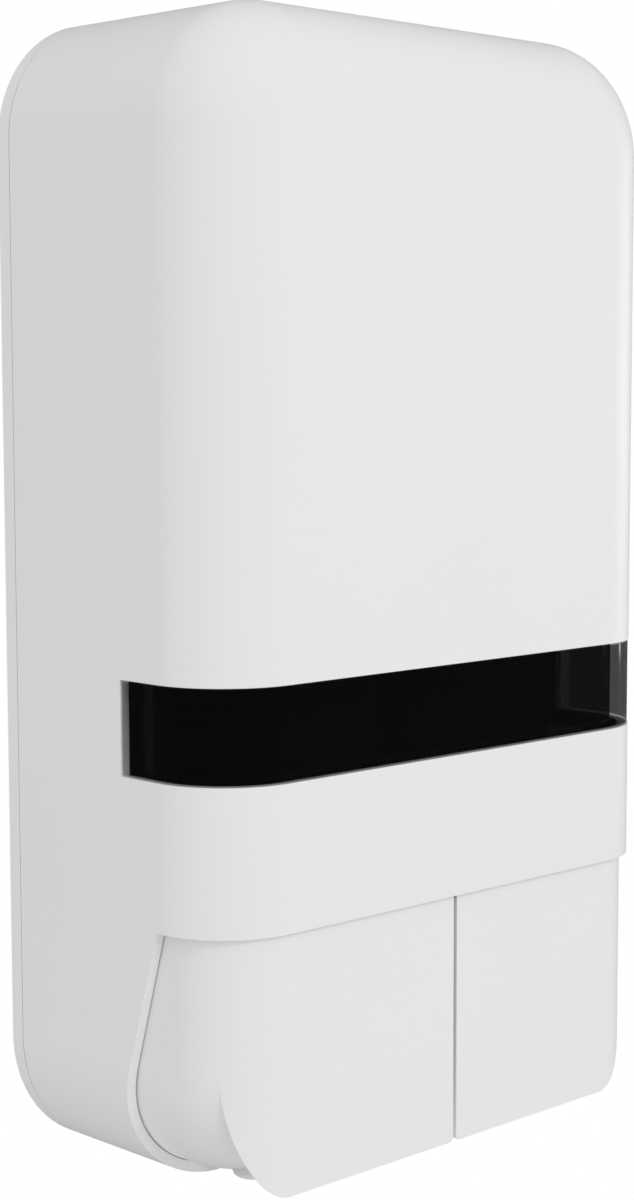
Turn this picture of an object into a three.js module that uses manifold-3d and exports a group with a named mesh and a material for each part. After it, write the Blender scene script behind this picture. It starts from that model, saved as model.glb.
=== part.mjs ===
// Twin wall mounted soap dispenser: housing, two push levers, two piston pumps and two cartridges.
// Millimetres, +Z up, front towards -Y. Heights below count from the underside of the housing;
// the finished group is lowered so that its origin is the centre of the wall face.
import * as THREE from "three";
import { mergeVertices } from "three/addons/utils/BufferGeometryUtils.js";
import Module from "manifold-3d";

const wasm = await Module();
wasm.setup();

// Housing
const width = 165;
const height = 294;
const depth = 82;
const topRadius = 31;
const bottomRadius = 34;
const frontFillet = 22;
const coverWall = 2.4;
const plateDepth = 4.2;
const seamGap = 0.4;
const gap = 0.3;

// Cover openings
const coverEdgeZ = 70.6;
const windowLowZ = 107.4;
const windowHighZ = 131.1;
const windowRearY = -45.8;
const windowThickness = 2;
const floorEndY = -43;

// Cover hinge and latch
const hingeY = -20;
const hingeZ = 3.5;
const hingeX = 23;
const latchY = -30;

// Levers
const leverSideInset = 2.9;
const leverFrontInset = 1.6;
const leverFillet = 18;
const leverWall = 2.2;
const leverRollRadius = 33;
const leverTopGap = 0.8;
const leverRearGap = 1.1;
const leverHalfGap = 0.75;
const flapLowZ = 4.6;
const flapCornerInset = 5.5;
const flapCornerWidth = 17.7;
const pivotY = -60;
const pivotZ = 80;

// Pumps and cartridges
const pumpX = 42;
const pumpZ = 46;
const inletY = -22;
const nozzleY = -49;
const pistonFrontY = -71.5;
const pistonRearY = -33;
const barrelFrontY = -46;
const shelfZ = 91;
const cartridgeInnerX = 5.6;
const cartridgeOuterX = 62.7;
const cartridgeFrontY = -61.4;
const cartridgeTopZ = 266;

const leverFrontY = -(depth - leverFrontInset);
const coverRearY = -(plateDepth + seamGap);
const arcSteps = 6;
const roundSteps = 20;

// Solids: joining, cutting and the basic shapes

function tidy(geometry) {
  const plain = geometry.clone();
  plain.deleteAttribute("normal");
  plain.deleteAttribute("uv");
  return mergeVertices(plain, 1e-4);
}

function toSolid(geometry) {
  const merged = tidy(geometry);
  const vertProperties = new Float32Array(merged.attributes.position.array);
  const triVerts = new Uint32Array(merged.index.array);
  return new wasm.Manifold(new wasm.Mesh({ numProp: 3, vertProperties, triVerts }));
}

function toGeometry(solid) {
  const { vertProperties, triVerts } = solid.getMesh();
  const geometry = new THREE.BufferGeometry();
  geometry.setAttribute("position", new THREE.BufferAttribute(new Float32Array(vertProperties), 3));
  geometry.setIndex(new THREE.BufferAttribute(new Uint32Array(triVerts), 1));
  return geometry;
}

function join(first, ...others) {
  return toGeometry(others.reduce((sum, item) => sum.add(toSolid(item)), toSolid(first)));
}

function cut(first, ...tools) {
  return toGeometry(tools.reduce((rest, item) => rest.subtract(toSolid(item)), toSolid(first)));
}

function common(first, ...others) {
  return toGeometry(others.reduce((kept, item) => kept.intersect(toSolid(item)), toSolid(first)));
}

// A box between two corners.
function box(x0, x1, y0, y1, z0, z1) {
  const geometry = new THREE.BoxGeometry(x1 - x0, y1 - y0, z1 - z0);
  return geometry.translate((x0 + x1) / 2, (y0 + y1) / 2, (z0 + z1) / 2);
}

// A body of revolution. The profile is a list of [radius, distance along the axis].
function turned(axis, at, profile, steps = roundSteps) {
  const points = profile.map(([radius, along]) => new THREE.Vector2(radius, along));
  if (profile[0][0] > 0) points.push(points[0].clone());
  const area = points.reduce((sum, point, i) => {
    const next = points[(i + 1) % points.length];
    return sum + point.x * next.y - next.x * point.y;
  }, 0);
  if (area < 0) points.reverse();
  const geometry = new THREE.LatheGeometry(points, steps);
  if (axis === "x") geometry.rotateZ(-Math.PI / 2);
  if (axis === "z") geometry.rotateX(Math.PI / 2);
  return geometry.translate(...at);
}

function rod(axis, at, radius, from, to, steps = roundSteps) {
  return turned(axis, at, [[0, from], [radius, from], [radius, to], [0, to]], steps);
}

function tube(axis, at, inner, outer, from, to, steps = roundSteps) {
  return turned(axis, at, [[inner, from], [outer, from], [outer, to], [inner, to]], steps);
}

// An outline of [y, z] points, extruded along X.
function sidePrism(points, x0, x1) {
  const shape = new THREE.Shape(points.map(([y, z]) => new THREE.Vector2(y, z)));
  const geometry = new THREE.ExtrudeGeometry(shape, { depth: x1 - x0, bevelEnabled: false });
  geometry.applyMatrix4(new THREE.Matrix4().set(0, 0, 1, x0, 1, 0, 0, 0, 0, 1, 0, 0, 0, 0, 0, 1));
  return geometry;
}

// An outline of [x, z] points, extruded along Y.
function frontPrism(points, y0, y1) {
  const shape = new THREE.Shape(points.map(([x, z]) => new THREE.Vector2(x, z)));
  const geometry = new THREE.ExtrudeGeometry(shape, { depth: y1 - y0, bevelEnabled: false });
  geometry.applyMatrix4(new THREE.Matrix4().set(1, 0, 0, 0, 0, 0, -1, y1, 0, 1, 0, 0, 0, 0, 0, 1));
  return geometry;
}

// Points on an arc in degrees, as [u, v] pairs.
function arc(centreU, centreV, radiusU, radiusV, from, to, steps = arcSteps) {
  return Array.from({ length: steps + 1 }, (_, i) => {
    const angle = THREE.MathUtils.degToRad(from + ((to - from) * i) / steps);
    return [centreU + radiusU * Math.cos(angle), centreV + radiusV * Math.sin(angle)];
  });
}

// The front view outline of the housing, drawn in by an inset, as [x, z] points.
function outline(inset, lowZ = 0) {
  const half = width / 2 - inset;
  const low = lowZ + inset;
  const high = height - inset;
  const rTop = topRadius - inset;
  const rLow = bottomRadius - inset;
  return [
    ...arc(half - rLow, low + rLow, rLow, rLow, -90, 0),
    ...arc(half - rTop, high - rTop, rTop, rTop, 0, 90),
    ...arc(rTop - half, high - rTop, rTop, rTop, 90, 180),
    ...arc(rLow - half, low + rLow, rLow, rLow, 180, 270),
  ];
}

// Rings of [x, z] points at given depths, skinned and capped into one closed body.
function loft(rings) {
  const count = rings[0].points.length;
  const position = rings.flatMap(({ y, points }) => points.flatMap(([x, z]) => [x, y, z]));
  const index = [];
  for (let ring = 0; ring + 1 < rings.length; ring++) {
    for (let i = 0; i < count; i++) {
      const a = ring * count + i;
      const b = ring * count + ((i + 1) % count);
      index.push(a, b, b + count, a, b + count, a + count);
    }
  }
  const last = (rings.length - 1) * count;
  for (let i = 1; i + 1 < count; i++) {
    index.push(0, i + 1, i, last, last + i, last + i + 1);
  }
  const geometry = new THREE.BufferGeometry();
  geometry.setAttribute("position", new THREE.Float32BufferAttribute(position, 3));
  geometry.setIndex(index);
  return geometry;
}

// The housing's outer form: the outline run forward and rounded over along the front edge.
function housingForm({ inset, rearY, frontY, fillet, lowZ = 0 }) {
  const rings = [{ y: rearY, points: outline(inset, lowZ) }];
  for (let i = 0; i <= arcSteps; i++) {
    const angle = ((Math.PI / 2) * i) / arcSteps;
    const drawnIn = inset + fillet * (1 - Math.cos(angle));
    const y = frontY + fillet * (1 - Math.sin(angle));
    rings.push({ y, points: outline(drawnIn, lowZ) });
  }
  return loft(rings);
}

function coverForm(inset, rearY = coverRearY) {
  return housingForm({ inset, rearY, frontY: inset - depth, fillet: frontFillet - inset });
}

function leverForm(inset, lowZ = 0) {
  return housingForm({
    inset: leverSideInset + inset,
    rearY: -20,
    frontY: leverFrontY + inset,
    fillet: leverFillet - inset,
    lowZ,
  });
}

// The recess in the cover that the levers sit in, seen from the side: rear edge from top to floor.
function recessEdge(shiftY = 0, shiftZ = 0) {
  const path = new THREE.Path();
  path.moveTo(-58.6 + shiftY, coverEdgeZ + shiftZ);
  path.lineTo(-48.2 + shiftY, 36 + shiftZ);
  path.quadraticCurveTo(-43.6 + shiftY, 20.5 + shiftZ, floorEndY + shiftY, 2 + shiftZ);
  return path.getPoints(arcSteps).map((point) => [point.x, point.y]);
}

// Materials and nodes

function finish(color, roughness, metalness = 0, opacity = 1) {
  const look = { color, roughness, metalness, opacity, transparent: opacity < 1 };
  return new THREE.MeshStandardMaterial(look);
}

const whitePlastic = finish(0xe9e9e7, 0.42);
const smokedPlastic = finish(0x141517, 0.08, 0, 0.55);
const darkPlastic = finish(0x2a2b2d, 0.4);
const greyPlastic = finish(0x8d8f90, 0.45);
const naturalPlastic = finish(0xd9d8cf, 0.35);
const blackRubber = finish(0x1b1b1b, 0.8);
const clearRubber = finish(0xc9c7bd, 0.55);
const zincSteel = finish(0xb4b6b8, 0.32, 1);

const dispenser = new THREE.Group();
dispenser.position.z = -height / 2;

function add(name, geometry, material) {
  const mesh = new THREE.Mesh(tidy(geometry), material);
  mesh.name = name;
  dispenser.add(mesh);
}

// Both sides of the dispenser: -1 is the left one seen from the front.
const sides = [["left", -1], ["right", 1]];

// Back plate and chassis

// Keyholes for the wall screws, and the screws that hold the chassis, as x and z
const wallScrewX = 50;
const wallScrewZ = [150, 262];
const chassisScrews = [[-58, 32], [58, 32], [-58, 76], [58, 76]];

function backPlate() {
  const plate = frontPrism(outline(0), -plateDepth, 0);
  const rim = common(
    cut(frontPrism(outline(3.2), -9, -2), frontPrism(outline(5.4), -10, -1)),
    box(-width, width, -9, -2, 40, height),
  );
  const arms = [-hingeX, hingeX].map((x) => sidePrism([
    [-2, 0.5],
    [-2, 12],
    [-8, 6.5],
    ...arc(hingeY, hingeZ, 3, 3, 90, 270),
  ], x - 4, x + 4));
  const keyholes = wallScrewZ.flatMap((z) => [-wallScrewX, wallScrewX].map((x) => frontPrism([
    ...arc(x, z, 4.5, 4.5, 125, 415, 10),
    ...arc(x, z + 12, 2.6, 2.6, 0, 180, 5),
  ], -plateDepth - 1, 1)));
  const pinHoles = [-hingeX, hingeX].map((x) => rod("x", [x, hingeY, hingeZ], 1.8, -6, 6, 12));
  const screwHoles = chassisScrews.map(([x, z]) => rod("y", [x, 0, z], 1.7, -6, 1, 12));
  return cut(join(plate, rim, ...arms), ...keyholes, ...pinHoles, ...screwHoles);
}

function chassis() {
  const rearY = coverRearY;
  const rearWall = box(-66, 66, rearY - 3, rearY, 26, shelfZ);
  const shelf = box(-70, 70, -66, rearY, shelfZ - 3, shelfZ);
  const trayLips = [
    box(-66, -cartridgeOuterX - 0.8, -66, -8, shelfZ - 1, shelfZ + 8),
    box(cartridgeOuterX + 0.8, 66, -66, -8, shelfZ - 1, shelfZ + 8),
    box(-66, 66, -64.5, cartridgeFrontY - 0.8, shelfZ - 1, shelfZ + 8),
    box(-3, 3, -64.5, -8, shelfZ - 1, shelfZ + 8),
  ];
  const ribOutline = [
    [rearY, shelfZ],
    [rearY, 44],
    [-12, 44],
    [-52, 73],
    ...arc(pivotY, pivotZ, 6, 6, 300, 180, 4),
    [-66, shelfZ],
  ];
  const ribs = [-70, -1.5, 67].map((x) => sidePrism(ribOutline, x, x + 3));
  const neckHoles = sides.map(([, side]) => rod("z", [side * pumpX, inletY, 0], 9, shelfZ - 5, shelfZ + 2));
  const shaftHole = rod("x", [0, pivotY, pivotZ], 2.6, -75, 75, 12);
  const screwHoles = chassisScrews.map(([x, z]) => rod("y", [x, 0, z], 1.8, rearY - 4, rearY + 1, 12));
  const pumpScrewHoles = sides.flatMap(([, side]) => [-16, 16].map(
    (x) => rod("y", [side * pumpX + x, 0, pumpZ], 1.3, rearY - 4, rearY + 1, 12)));
  return cut(join(rearWall, shelf, ...trayLips, ...ribs), ...neckHoles, shaftHole, ...screwHoles, ...pumpScrewHoles);
}

// A pan head screw along Y: head underside at headY, driven towards the wall.
function screw(x, z, headY, tipY, shank, head) {
  const body = turned("y", [x, 0, z], [
    [0, headY - head * 0.7],
    [head * 0.75, headY - head * 0.7],
    [head, headY - head * 0.3],
    [head, headY],
    [shank, headY],
    [shank, tipY],
    [0, tipY],
  ], 12);
  const slots = [0, Math.PI / 2].map((turn) => {
    const slot = new THREE.BoxGeometry(head * 1.1, head * 0.7, head * 0.3);
    slot.rotateY(turn);
    return slot.translate(x, headY - head * 0.7, z);
  });
  return cut(body, ...slots);
}

add("back_plate", backPlate(), whitePlastic);
add("chassis", chassis(), darkPlastic);
chassisScrews.forEach(([x, z], i) => {
  add(`chassis_screw_${i + 1}`, screw(x, z, coverRearY - 3 - gap, -0.8, 1.35, 3.2), zincSteel);
});

// Lever shaft and its end clips

const shaftRadius = 2.3;
add("lever_shaft", rod("x", [0, pivotY, pivotZ], shaftRadius, -74.5, 74.5, 16), zincSteel);
for (const [name, side] of sides) {
  const clip = tube("x", [0, pivotY, pivotZ], shaftRadius + 0.2, 4.6, side * 70.4, side * 71.6, 16);
  add(`shaft_clip_${name}`, clip, blackRubber);
}

// Pumps

function pumpBody(side) {
  const x = side * pumpX;
  const barrel = rod("y", [x, 0, pumpZ], 11, barrelFrontY, -8);
  const flange = box(x - 20, x + 20, -11, -8, pumpZ - 8, pumpZ + 8);
  const inlet = rod("z", [x, inletY, 0], 7.5, pumpZ, 79);
  const spigot = rod("z", [x, inletY, 0], 4.6, 78, 88, 16);
  const duct = box(x - 7.5, x + 7.5, -57, -12, 24.5, 35.2);
  const web = box(x - 7.5, x + 7.5, barrelFrontY, -12, 30, 38);
  const bore = rod("y", [x, 0, pumpZ], 8, barrelFrontY - 1, -13);
  const inletBore = rod("z", [x, inletY, 0], 2.8, 58, 89, 12);
  const valveSeat = rod("z", [x, inletY, 0], 4.6, pumpZ, 62, 12);
  const drop = rod("z", [x, -16.5, 0], 2.4, 29.5, pumpZ, 12);
  const channel = rod("y", [x, 0, 29.5], 2.4, nozzleY, -14.2, 12);
  const socket = rod("z", [x, nozzleY, 0], 5.2, 24, 33, 16);
  const screwHoles = [-16, 16].map((dx) => rod("y", [x + dx, 0, pumpZ], 1.8, -12, -7, 12));
  return cut(join(barrel, flange, inlet, spigot, duct, web),
    bore, inletBore, valveSeat, drop, channel, socket, ...screwHoles);
}

function piston(side) {
  return turned("y", [side * pumpX, 0, pumpZ], [
    [0, pistonFrontY],
    [10.2, pistonFrontY],
    [11, pistonFrontY + 0.8],
    [11, pistonFrontY + 2.5],
    [3.5, pistonFrontY + 4],
    [3.5, -43],
    [7.5, -43],
    [7.5, -40],
    [6, -40],
    [6, -37],
    [7.5, -37],
    [7.5, pistonRearY],
    [0, pistonRearY],
  ]);
}

// A rubber duckbill: a collar that narrows to a lipped tip.
function duckbill(at, collarRadius, from, length) {
  const tip = from - length;
  return turned("z", at, [
    [collarRadius - 1.1, from],
    [collarRadius, from],
    [collarRadius, from - length * 0.25],
    [1.4, tip],
    [0.5, tip],
    [collarRadius - 1.1, from - length * 0.3],
  ], 16);
}

function nozzle(side) {
  return turned("z", [side * pumpX, nozzleY, 0], [
    [2.4, 32.4],
    [4.8, 32.4],
    [4.8, 24.2],
    [6.2, 24.2],
    [6.2, 0.4],
    [5.6, -1.2],
    [4.7, -1.6],
    [4.5, 15],
    [2.4, 16],
  ]);
}

// A coil spring of round wire along an axis, between its low and high ends.
function coilSpring(axis, at, radius, wire, low, high, turns) {
  const steps = turns * 12;
  const points = Array.from({ length: steps + 1 }, (_, i) => {
    const angle = (i / 12) * Math.PI * 2;
    const along = low + wire + ((high - low - 2 * wire) * i) / steps;
    return new THREE.Vector3(radius * Math.cos(angle), radius * Math.sin(angle), along);
  });
  const section = new THREE.Shape(arc(0, 0, wire, wire, 0, 300, 5).map(([u, v]) => new THREE.Vector2(u, v)));
  const extrudePath = new THREE.CatmullRomCurve3(points);
  const coil = new THREE.ExtrudeGeometry(section, { steps, extrudePath, bevelEnabled: false });
  if (axis === "y") coil.rotateX(-Math.PI / 2);
  return coil.translate(...at);
}

function pumpNodes(name, side) {
  const x = side * pumpX;
  add(`${name}_pump_body`, pumpBody(side), naturalPlastic);
  [-16, 16].forEach((dx, i) => {
    add(`${name}_pump_screw_${i + 1}`, screw(x + dx, pumpZ, -11 - gap, -5.2, 1.0, 2.6), zincSteel);
  });
  add(`${name}_piston`, piston(side), naturalPlastic);
  add(`${name}_piston_seal`, tube("y", [x, 0, pumpZ], 6.3, 7.8, -39.7, -37.3), blackRubber);
  const coil = coilSpring("y", [x, 0, pumpZ], 9.5, 0.7, pistonFrontY + 2.9, barrelFrontY - 0.4, 5);
  add(`${name}_piston_spring`, coil, zincSteel);
  add(`${name}_inlet_valve`, duckbill([x, inletY, 0], 4.2, 60.8, 6), clearRubber);
  add(`${name}_nozzle`, nozzle(side), greyPlastic);
  add(`${name}_outlet_valve`, duckbill([x, nozzleY, 0], 4.1, 14.4, 9), clearRubber);
}

sides.forEach(([name, side]) => pumpNodes(name, side));

// Cartridges

function cartridgeShape(inset) {
  const halfX = (cartridgeOuterX - cartridgeInnerX) / 2 - inset;
  const halfY = (-8.6 - cartridgeFrontY) / 2 - inset;
  const r = 7 - inset;
  const corners = [[1, 1], [-1, 1], [-1, -1], [1, -1]];
  const points = corners.flatMap(([u, v], i) => arc(
    u * (halfX - r), v * (halfY - r), r, r, i * 90, i * 90 + 90, 4));
  return new THREE.Shape(points.map(([x, y]) => new THREE.Vector2(x, y)));
}

function cartridge(side) {
  const centreX = (side * (cartridgeInnerX + cartridgeOuterX)) / 2;
  const centreY = (cartridgeFrontY - 8.6) / 2;
  const bevel = { bevelEnabled: true, bevelThickness: 2, bevelSize: 2, bevelSegments: 2, bevelOffset: -2 };
  const lowZ = shelfZ + gap;
  const bottle = new THREE.ExtrudeGeometry(cartridgeShape(0), { depth: cartridgeTopZ - lowZ - 4, ...bevel });
  bottle.translate(centreX, centreY, lowZ + 2);
  const inside = new THREE.ExtrudeGeometry(
    cartridgeShape(1.6), { depth: cartridgeTopZ - lowZ - 4, bevelEnabled: false });
  inside.translate(centreX, centreY, lowZ + 2);
  const neck = rod("z", [side * pumpX, inletY, 0], 8, 81.2, lowZ + 1);
  const neckBore = rod("z", [side * pumpX, inletY, 0], 5.4, 80, lowZ + 3, 16);
  return cut(join(bottle, neck), inside, neckBore);
}

for (const [name, side] of sides) {
  add(`${name}_cartridge`, cartridge(side), darkPlastic);
  add(`${name}_neck_seal`, tube("z", [side * pumpX, inletY, 0], 5, 7.4, 79.3, 80.9), blackRubber);
}

// Cover, window, hinge pins and latch

function cover() {
  const shell = cut(coverForm(0), coverForm(coverWall, coverRearY + 1));
  const recess = sidePrism([
    [floorEndY, -5],
    [-depth - 10, -5],
    [-depth - 10, coverEdgeZ],
    ...recessEdge(),
  ], -width, width);
  const windowSlot = box(-width, width, -depth - 5, windowRearY, windowLowZ, windowHighZ);
  const armNotches = [-hingeX, hingeX].map((x) => box(x - 4.5, x + 4.5, hingeY - 4, 0, -1, 9));
  const nozzleNotches = sides.map(([, side]) => rod("z", [side * pumpX, nozzleY, 0], 9.5, -1, 4));
  const lugs = [-hingeX, hingeX].flatMap((x) => [-7.5, 7.5].map(
    (dx) => rod("x", [x + dx, hingeY, hingeZ], 3.2, -2.8, 2.8, 16)));
  const pinHoles = [-hingeX, hingeX].map((x) => rod("x", [x, hingeY, hingeZ], 1.85, -12, 12, 12));
  const latchGuide = box(-11, 11, latchY - 8, latchY + 8, 281, height - 1);
  const guideBore = box(-8.3, 8.3, latchY - 5.2, latchY + 5.2, 283, 289.5);
  const buttonHole = box(-6.9, 6.9, latchY - 4.9, latchY + 4.9, 289, height + 1);
  const stemHole = rod("z", [0, latchY, 0], 2.5, 280, 284, 12);
  const walls = cut(shell, recess, windowSlot, ...armNotches, ...nozzleNotches);
  return cut(join(walls, ...lugs, latchGuide), ...pinHoles, guideBore, buttonHole, stemHole);
}

// The window band: flush in the slot, with a wider flange behind the wall of the cover.
function windowBand() {
  const rearY = windowRearY - gap;
  const outer = common(
    coverForm(0.25, -40),
    box(-width, width, -depth, rearY, windowLowZ + gap, windowHighZ - gap),
  );
  const flange = common(
    coverForm(coverWall + gap, -40),
    box(-width, width, -depth, rearY + 4, windowLowZ - 4, windowHighZ + 4),
  );
  return cut(join(outer, flange), coverForm(coverWall + gap + windowThickness, -30));
}

function latchButton() {
  const cap = frontPrism([
    [-7.9, 287], [7.9, 287], [7.9, 289], [6.5, 289], [6.5, height - 0.4], [-6.5, height - 0.4], [-6.5, 289],
    [-7.9, 289],
  ], latchY - 4.5, latchY + 4.5);
  return join(cap, rod("z", [0, latchY, 0], 2, 278, 288, 16));
}

// The sprung arm under the top wall, with a nose that snaps up behind the keeper's lip.
function coverCatch() {
  return sidePrism([
    [-52, 288.6], [-52, 291.2], [-41, 291.2], [-39.6, 289.8], [-39.6, 277.1], [-16.9, 277.1], [-16.9, 280],
    [-15.9, 281.2], [-14.4, 281.2], [-13.4, 275.3], [-41.4, 275.3], [-41.4, 288.6],
  ], -5, 5);
}

function latchKeeper() {
  return sidePrism([
    [coverRearY, 270], [coverRearY, 287], [-7.4, 287], [-7.4, 284.6], [-20, 284.6], [-20, 278.4], [-17.6, 278.4],
    [-17.6, 282.2], [-7.4, 282.2], [-7.4, 270],
  ], -8, 8);
}

add("cover", cover(), whitePlastic);
add("window", windowBand(), smokedPlastic);
for (const [name, side] of sides) {
  add(`hinge_pin_${name}`, rod("x", [side * hingeX, hingeY, hingeZ], 1.5, -10, 10, 12), zincSteel);
}
add("latch_keeper", latchKeeper(), darkPlastic);
add("latch_button", latchButton(), greyPlastic);
add("latch_spring", coilSpring("z", [0, latchY, 0], 3.1, 0.4, 283.3, 286.7, 3), zincSteel);
add("cover_catch", coverCatch(), naturalPlastic);

// Levers and their push pads

// Seen from the front: the flap under the lever, with its big rounded outer corner.
function flapOutline() {
  const rollZ = leverSideInset + leverRollRadius;
  const outerX = width / 2 - flapCornerInset;
  const cornerHeight = rollZ - flapLowZ;
  return [
    [outerX + 10, rollZ + 30],
    [leverHalfGap, rollZ + 30],
    ...arc(leverHalfGap + 1.5, flapLowZ + 1.5, 1.5, 1.5, 180, 270, 3),
    ...arc(outerX - flapCornerWidth, rollZ, flapCornerWidth, cornerHeight, 270, 360, 10),
    [outerX + 0.2, rollZ + 6],
    [outerX + 10, rollZ + 10],
  ];
}

// Seen from the side: the lever's body rolls under towards the nozzle.
function rollOutline(inset) {
  const centreY = leverFrontY + leverRollRadius;
  const centreZ = leverSideInset + leverRollRadius;
  const radius = leverRollRadius - inset;
  const top = coverEdgeZ - leverTopGap;
  const rear = recessEdge(-leverRearGap, -leverTopGap);
  return [
    [-depth, top],
    ...rear,
    ...arc(centreY, centreZ, radius, radius, 270, 180, 8).slice(1),
    [-depth, centreZ],
  ];
}

// The right hand lever; the left one is its mirror image.
function rightLever() {
  const reach = box(leverHalfGap, width, -depth, 0, 0, height);
  const solid = common(leverForm(0), sidePrism(rollOutline(0), 0, width), reach);
  const hollow = common(leverForm(leverWall), box(0, width, -depth, -10, 0, coverEdgeZ + 5));
  const hollowRoll = sidePrism([
    [-10, coverEdgeZ + 5],
    [-10, 0],
    ...arc(leverFrontY + leverRollRadius, leverSideInset + leverRollRadius,
      leverRollRadius - leverWall, leverRollRadius - leverWall, 270, 180, 8),
    [-depth, leverSideInset + leverRollRadius],
    [-depth, coverEdgeZ + 5],
  ], 0, width);
  const skin = cut(solid, common(hollow, hollowRoll));
  const centreWall = common(solid, box(leverHalfGap, leverHalfGap + leverWall, -depth, -64, 0, height));
  const flapSkin = cut(leverForm(0, -60), leverForm(leverWall, -60));
  const flap = common(flapSkin, frontPrism(flapOutline(), -depth, -60), reach, box(0, width, -depth, 0, 0, 60));
  const padBoss = rod("y", [pumpX, 0, pumpZ], 8, leverFrontY + 1, -76);
  const padHole = rod("y", [pumpX, 0, pumpZ], 2.9, -78.4, -75, 12);
  const lugOutline = [
    [leverFrontY + 1, 50],
    [leverFrontY + 1, 68],
    ...arc(pivotY, pivotZ, 6, 6, 150, -30, 8),
    [-72, 50],
  ];
  const lugs = [12, 61].map((x) => sidePrism(lugOutline, x, x + 4));
  const shaftHole = rod("x", [0, pivotY, pivotZ], shaftRadius + 0.4, 0, 80, 16);
  const nozzleSlot = box(pumpX - 11, pumpX + 11, -77.6, 0, -1, 31);
  const topChamfer = sidePrism([
    [leverFrontY - 1, coverEdgeZ],
    [leverFrontY - 1, coverEdgeZ - leverTopGap - 2],
    [leverFrontY + 1.2, coverEdgeZ],
  ], 0, width);
  const body = cut(join(skin, centreWall, padBoss, ...lugs), nozzleSlot, topChamfer, padHole, shaftHole);
  return join(body, flap);
}

function mirrored(geometry) {
  const copy = tidy(geometry).scale(-1, 1, 1);
  const index = copy.index.array;
  for (let i = 0; i < index.length; i += 3) {
    [index[i], index[i + 1]] = [index[i + 1], index[i]];
  }
  return copy;
}

function pushPad(side) {
  return turned("y", [side * pumpX, 0, pumpZ], [
    [0, -78.1],
    [2.5, -78.1],
    [2.5, -75.7],
    [6.4, -75.7],
    [6.4, -74.9],
    [5, -73.6],
    [2.6, -72.4],
    [0, -72],
  ]);
}

const lever = rightLever();
add("left_lever", mirrored(lever), whitePlastic);
add("right_lever", lever, whitePlastic);
for (const [name, side] of sides) {
  add(`${name}_push_pad`, pushPad(side), naturalPlastic);
}

export default dispenser;
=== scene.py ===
import math

import bmesh
import bpy
from mathutils import Matrix, Vector


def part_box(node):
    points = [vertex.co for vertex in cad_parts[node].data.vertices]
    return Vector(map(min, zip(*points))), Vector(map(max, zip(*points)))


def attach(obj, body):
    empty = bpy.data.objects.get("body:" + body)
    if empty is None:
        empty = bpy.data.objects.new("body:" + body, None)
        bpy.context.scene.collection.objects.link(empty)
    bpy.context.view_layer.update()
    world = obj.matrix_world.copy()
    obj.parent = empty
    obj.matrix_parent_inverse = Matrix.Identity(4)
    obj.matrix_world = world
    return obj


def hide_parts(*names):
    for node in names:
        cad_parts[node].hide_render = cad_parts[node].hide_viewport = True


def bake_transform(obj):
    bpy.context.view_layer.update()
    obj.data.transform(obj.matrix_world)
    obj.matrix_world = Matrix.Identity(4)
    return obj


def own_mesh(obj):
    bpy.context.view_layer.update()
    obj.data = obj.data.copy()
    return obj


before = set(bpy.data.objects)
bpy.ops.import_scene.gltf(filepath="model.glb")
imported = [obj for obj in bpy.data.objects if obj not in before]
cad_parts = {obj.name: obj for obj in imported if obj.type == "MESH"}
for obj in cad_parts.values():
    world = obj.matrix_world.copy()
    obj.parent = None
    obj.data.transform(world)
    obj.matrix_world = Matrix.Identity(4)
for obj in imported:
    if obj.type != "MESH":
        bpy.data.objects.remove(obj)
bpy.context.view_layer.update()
print("frame loaded:", len(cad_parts), "nodes")

# Lengths are in millimetres; heights count from the underside of the housing.
mm = 0.001
plateLow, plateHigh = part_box("back_plate")
underside = plateLow.z
width = (plateHigh.x - plateLow.x) / mm
height = (plateHigh.z - plateLow.z) / mm
depth = -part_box("cover")[0].y / mm
hidden = 200    # past the object, for cutting tools

housing = {
    "topRadius": 31,
    "bottomRadius": 34,
    "fillet": 22,
    "wall": 2.75,
    "rearY": -4.45,
    "cornerSteps": 24,
    "filletSteps": 16,
}


# Small modelling helpers

def spot(x, y, z):
    return Vector((x * mm, y * mm, underside + z * mm))


def focus(piece):
    for item in bpy.context.selected_objects:
        item.select_set(False)
    if piece:
        piece.select_set(True)
        bpy.context.view_layer.objects.active = piece


def openEdit(piece):
    focus(piece)
    bpy.ops.object.mode_set(mode="EDIT")
    bpy.ops.mesh.select_all(action="SELECT")


def closeEdit():
    bpy.ops.object.mode_set(mode="OBJECT")


def settle(piece):
    focus(piece)
    bpy.ops.object.transform_apply(location=True, rotation=True, scale=True)
    return piece


# Selects what passes a test, in edit mode.
def pick(piece, kind, test):
    bpy.ops.mesh.select_mode(type=kind)
    bpy.ops.mesh.select_all(action="DESELECT")
    mesh = bmesh.from_edit_mesh(piece.data)
    for item in {"VERT": mesh.verts, "EDGE": mesh.edges, "FACE": mesh.faces}[kind]:
        if test(item):
            item.select = True
    mesh.select_flush_mode()
    bmesh.update_edit_mesh(piece.data)


def middle(edge):
    return (edge.verts[0].co + edge.verts[1].co) / 2


def runsAlong(edge, axis):
    way = edge.verts[1].co - edge.verts[0].co
    return abs(way[axis]) > 0.99 * way.length


def bevelPicked(radius, steps):
    bpy.ops.mesh.bevel(offset=radius * mm, segments=steps, profile=0.5, affect="EDGES", clamp_overlap=False)


def closeSeams():
    bpy.ops.mesh.select_all(action="SELECT")
    bpy.ops.mesh.remove_doubles(threshold=0.002 * mm)
    bpy.ops.mesh.normals_make_consistent(inside=False)


def applyModifier(piece, kind, **values):
    modifier = piece.modifiers.new("step", kind)
    for name, value in values.items():
        setattr(modifier, name, value)
    focus(piece)
    bpy.ops.object.modifier_apply(modifier=modifier.name)


def combine(piece, operation, *tools):
    for tool in tools:
        applyModifier(piece, "BOOLEAN", operation=operation, solver="EXACT", object=tool)
        bpy.data.objects.remove(tool)
    return piece


def cut(piece, *tools):
    return combine(piece, "DIFFERENCE", *tools)


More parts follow.
